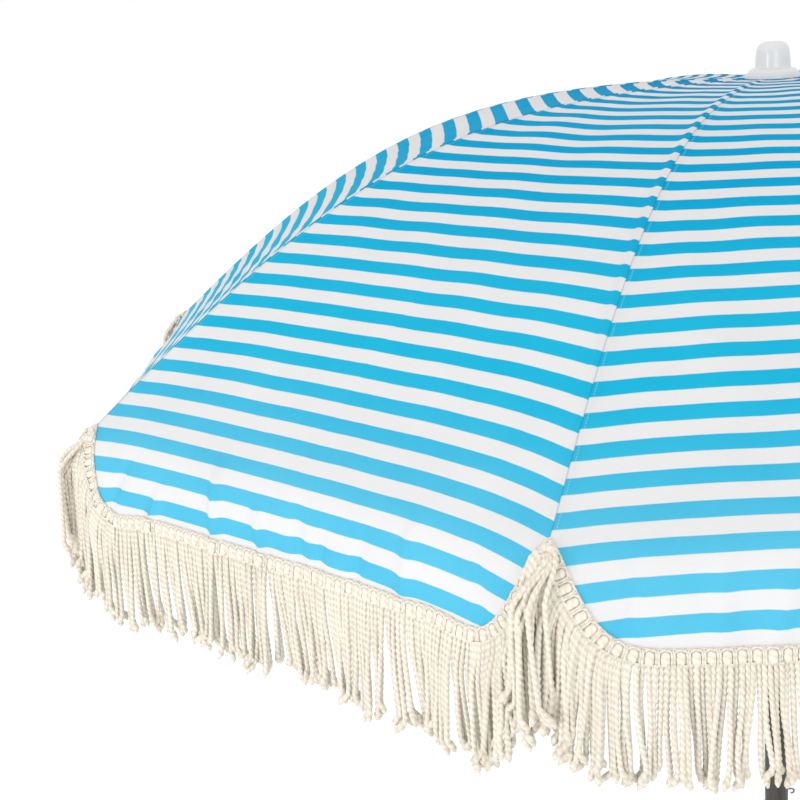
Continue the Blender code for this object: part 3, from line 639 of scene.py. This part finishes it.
def strand_part(hem, chord, rng):
    """Two-ply ropes that hang from the heading, sway a little and bunch together lower down."""
    start = np.arange(0.5 * STRAND_PITCH, hem.length, STRAND_PITCH)
    start = np.sort(np.concatenate([start, start[start < NOTCH_REACH] + 0.5 * STRAND_PITCH]))
    stand, sway = (NOTCH_STAND_END, NOTCH_SWAY_END) if hem.side > 0 else (NOTCH_STAND_START, NOTCH_SWAY_START)
    count, rings = len(start), STRAND_RINGS
    group = np.zeros(count, int)
    at, label = 0, 0
    while at < count:
        size = int(rng.integers(3, 8))
        group[at:at + size] = label
        at, label = at + size, label + 1
    drift = rng.normal(0.0, 0.0050, label)[group]
    centre = np.array([start[group == g].mean() for g in range(label)])[group]
    length = STRAND_LENGTH * rng.uniform(0.92, 1.06, count) * (1.0 + 0.32 * np.exp(-start / 0.05))
    t = np.linspace(0.0, 1.0, rings)[None, :]
    run = t * length[:, None]
    root = hem.place(start, np.full(count, STRAND_ROOT), rng.choice([-0.0006, 0.0009], count))
    off = unit(hem.at(start, hem.off))
    eased = STRAND_BEND * (1.0 - np.exp(-run / STRAND_BEND))
    fall = run - eased
    paths = root[:, None, :] + off[:, None, :] * eased[..., None]
    paths = paths + np.array([0.0, 0.0, -1.0]) * fall[..., None]
    pull = 0.28 * (centre - start)[:, None] * t ** 2
    own = rng.normal(0.0, 0.0042, count)[:, None] * t ** 1.5
    wave = rng.uniform(0.0008, 0.0026, count)[:, None] * np.sin(
        rng.uniform(4.0, 8.0, count)[:, None] * t + rng.uniform(0.0, 6.3, count)[:, None]) * t
    curl = rng.normal(0.0, 0.0060, count)[:, None] * smooth(t, 0.88, 1.0)
    sideways = pull + drift[:, None] * t ** 1.6 + own + wave + curl
    depth = rng.normal(0.0, 0.0032, count)[:, None] * t + rng.normal(0.0, 0.0035, label)[group][:, None] * t ** 1.5
    depth = depth + rng.normal(0.0, 0.0040, count)[:, None] * smooth(t, 0.88, 1.0)
    notch = np.exp(-start / 0.060)[:, None] * smooth(t, 0.0, 0.34)
    layer = np.where(np.arange(count) % 2 > 0, 0.0022, -0.0022)[:, None] * t
    depth = depth + rng.uniform(*stand, count)[:, None] * notch + layer
    sideways = sideways + rng.uniform(*sway, count)[:, None] * notch
    paths = paths + chord * sideways[..., None] + hem.away * depth[..., None]
    radii = STRAND_RADIUS * rng.uniform(0.92, 1.08, count)[:, None] * np.ones((1, rings))
    radii = radii * (1.0 + 0.42 * np.exp(-((t - KNOT_PLACE) / 0.026) ** 2)) * np.where(t >= 0.999, 0.35, 1.0)
    tones = np.clip(rng.normal(0.35, 0.22, count), 0.0, 1.0)
    return tubes(paths, radii, ROPE_SIDES, chord, tones, 1.0, 0.20)


def make_fringe(panel, side):
    """The heading and the rope strands of one half valance."""
    rng = np.random.default_rng(1000 + 10 * panel + (1 if side > 0 else 0))
    hem = HemLine(panel, side)
    phi = 2.0 * HALF_SECTOR * panel
    chord = -side * np.array([-math.sin(phi), math.cos(phi), 0.0])
    parts = heading_parts(hem, rng) + [tape_part(hem), strand_part(hem, chord, rng)]
    points, quads, ply, tone, first = [], [], [], [], 0
    for part_points, part_quads, part_ply, part_tone in parts:
        points.append(part_points)
        quads.append(part_quads + first)
        ply.append(part_ply)
        tone.append(part_tone)
        first += len(part_points)
    maps = {"ply": np.concatenate(ply), "tone": np.concatenate(tone)}
    name = f"rope_fringe_{panel}_{'end' if side > 0 else 'start'}"
    return build(name, np.concatenate(points), np.concatenate(quads), maps, ROPE), chord


def make_trim(panel, side):
    """Valance and fringe of one half panel, hung from the rib tip beside it."""
    rib = panel if side < 0 else panel % PANELS + 1
    valance = make_valance(panel, side)
    fringe, chord = make_fringe(panel, side)
    for piece, name in ((valance, "canopy"), (fringe, "fringe")):
        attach(piece, f"fringe_{rib}")
        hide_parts(f"fringe_trim_{rib}")
        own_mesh(piece)


# ---------------------------------------------------------------- the finial

FINIAL = [(0.0, 0.0462), (0.0060, 0.0461), (0.0115, 0.0454), (0.0158, 0.0435), (0.0190, 0.0401), (0.0208, 0.0352),
          (0.0217, 0.0285), (0.0223, 0.0215), (0.0227, 0.0150), (0.0231, 0.0132), (0.0243, 0.0127), (0.0265, 0.0124),
          (0.0290, 0.0112), (0.0314, 0.0086), (0.0331, 0.0052), (0.0338, 0.0024), (0.0338, 0.0007), (0.0326, 0.0004),
          (0.0, 0.0004)]


def rounded(profile, steps):
    """The profile's points with a smooth curve through them."""
    knots = np.array([profile[0]] + profile + [profile[-1]], float)
    t = np.linspace(0.0, 1.0, steps, endpoint=False)[:, None]
    rows = []
    for i in range(1, len(knots) - 2):
        a, b, c, d = knots[i - 1:i + 3]
        rows.append(0.5 * (2 * b + (c - a) * t + (2 * a - 5 * b + 4 * c - d) * t ** 2
                           + (3 * b - a - 3 * c + d) * t ** 3))
    return np.concatenate(rows + [knots[-1:]])


def make_finial():
    """The white domed cap over the crown, turned as one smooth moulding."""
    line = rounded(FINIAL, 3)
    line[:, 0] = np.maximum(line[:, 0], 0.0)
    sides = 72
    turn = 2.0 * np.pi * np.arange(sides) / sides
    ring = line[1:-1]
    points = np.stack([ring[:, :1] * np.cos(turn), ring[:, :1] * np.sin(turn),
                       APEX_Z + ring[:, 1:] * np.ones(sides)], axis=-1).reshape(-1, 3)
    faces = []
    for row in range(len(ring) - 1):
        for i in range(sides):
            j = (i + 1) % sides
            faces.append((row * sides + i, (row + 1) * sides + i, (row + 1) * sides + j, row * sides + j))
    faces.append(tuple(range(sides)))
    faces.append(tuple(reversed(range((len(ring) - 1) * sides, len(ring) * sides))))
    mesh = bpy.data.meshes.new("finial_dome")
    mesh.from_pydata(points.tolist(), [], faces)
    mesh.materials.append(WHITE_PLASTIC)
    mesh.shade_smooth()
    mesh.set_sharp_from_angle(angle=math.radians(60.0))
    piece = bpy.data.objects.new("finial_dome", mesh)
    bpy.context.scene.collection.objects.link(piece)
    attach(piece, "upper_pole")
    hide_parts("finial_cap")


# ---------------------------------------------------------------- the CAD pieces' materials

def finish_cad():
    """Gives each hard piece of the model its material."""
    by_name = {"upper_pole": POLE_PAINT, "lower_pole": POLE_PAINT, "pole_collar": SPIKE_PLASTIC,
               "mid_pole": INNER_TUBE, "height_pin": PIN_DARK_REFLECTION, "tilt_pin": BRIGHT_WIRE, "tilt_fork": SPIKE_PLASTIC,
               "tilt_tongue": SPIKE_PLASTIC, "tilt_button": SPIKE_PLASTIC, "runner_catch": RIB_STEEL,
               "crown_ring": BRIGHT_WIRE, "runner_ring": BRIGHT_WIRE, "crown_hub": MOULDING, "runner": MOULDING,
               "ground_spike": SPIKE_PLASTIC}
    by_start = {"rib_saddle_": MOULDING, "rib_": RIB_STEEL, "stretcher_": RIB_STEEL}
    for name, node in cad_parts.items():
        material = by_name.get(name)
        if material is None:
            material = next((m for start, m in by_start.items() if name.startswith(start)), None)
        if material is not None:
            node.data.materials.clear()
            node.data.materials.append(material)


# ---------------------------------------------------------------- floor, light and camera

def make_stage():
    """A plain white floor and a soft white surround."""
    s = Shader("studio_floor")
    grain = s.noise(s.node("TexCoord").outputs["Object"], 3.0, 2.0)
    color = s.mix(s.fade(grain, 0.3, 0.7), (0.92, 0.92, 0.92, 1.0), (0.90, 0.90, 0.90, 1.0))
    paint = s.surface(color, 0.9, Emission_Color=(1.0, 1.0, 1.0, 1.0), Emission_Strength=0.15)
    mesh = bpy.data.meshes.new("floor")
    reach = 1500.0
    corners = [(-reach, -reach, 0), (reach, -reach, 0), (reach, reach, 0), (-reach, reach, 0)]
    mesh.from_pydata(corners, [], [(0, 1, 2, 3)])
    mesh.materials.append(paint)
    floor = bpy.data.objects.new("floor", mesh)
    bpy.context.scene.collection.objects.link(floor)
    world = bpy.data.worlds.new("studio")
    world.use_nodes = True
    world.node_tree.nodes["Background"].inputs[0].default_value = (1.0, 1.0, 1.0, 1.0)
    world.node_tree.nodes["Background"].inputs[1].default_value = 1.0
    bpy.context.scene.world = world


def area_light(name, place, target, size, power):
    data = bpy.data.lights.new(name, "AREA")
    data.shape = "RECTANGLE"
    data.size, data.size_y = size
    data.energy = power
    lamp = bpy.data.objects.new(name, data)
    lamp.location = place
    lamp.rotation_euler = (Vector(target) - Vector(place)).to_track_quat("-Z", "Y").to_euler()
    bpy.context.scene.collection.objects.link(lamp)


def make_camera():
    """A long lens above the crown, aimed down to the left of the pole and rolled slightly."""
    distance, above_tips, swing = 2.2761, 0.4699, math.radians(-10.383)
    yaw, pitch, roll = -0.22100, -0.23733, -0.05763
    ahead = Vector((math.sin(yaw) * math.cos(pitch), math.cos(yaw) * math.cos(pitch), math.sin(pitch)))
    right = Vector((math.cos(yaw), -math.sin(yaw), 0.0))
    up = right.cross(ahead)
    rolled_right = math.cos(roll) * right + math.sin(roll) * up
    rolled_up = -math.sin(roll) * right + math.cos(roll) * up
    axes = Matrix((rolled_right, rolled_up, -ahead)).transposed().to_4x4()
    place = Matrix.Translation((0.0, -distance, TIP_Z + above_tips))
    data = bpy.data.cameras.new("camera")
    data.lens = 77.30
    data.sensor_width = 36.0
    data.clip_end = 4000.0
    camera = bpy.data.objects.new("camera", data)
    camera.matrix_world = Matrix.Rotation(swing, 4, "Z") @ place @ axes
    bpy.context.scene.collection.objects.link(camera)
    bpy.context.scene.camera = camera


def main():
    make_camera()
    make_stage()
    area_light("key", (0.9, -4.6, 2.3), (0.0, 0.0, 1.6), (2.2, 2.2), 32.0)
    area_light("strip", (-2.6, -2.6, 1.5), (0.0, 0.0, 1.5), (0.45, 2.4), 30.0)
    for rib in range(1, PANELS + 1):
        make_canopy(rib)
    for panel in range(1, PANELS + 1):
        make_trim(panel, -1.0)
        make_trim(panel, 1.0)
    make_finial()
    finish_cad()
    bpy.context.scene.view_settings.view_transform = "Standard"


main()
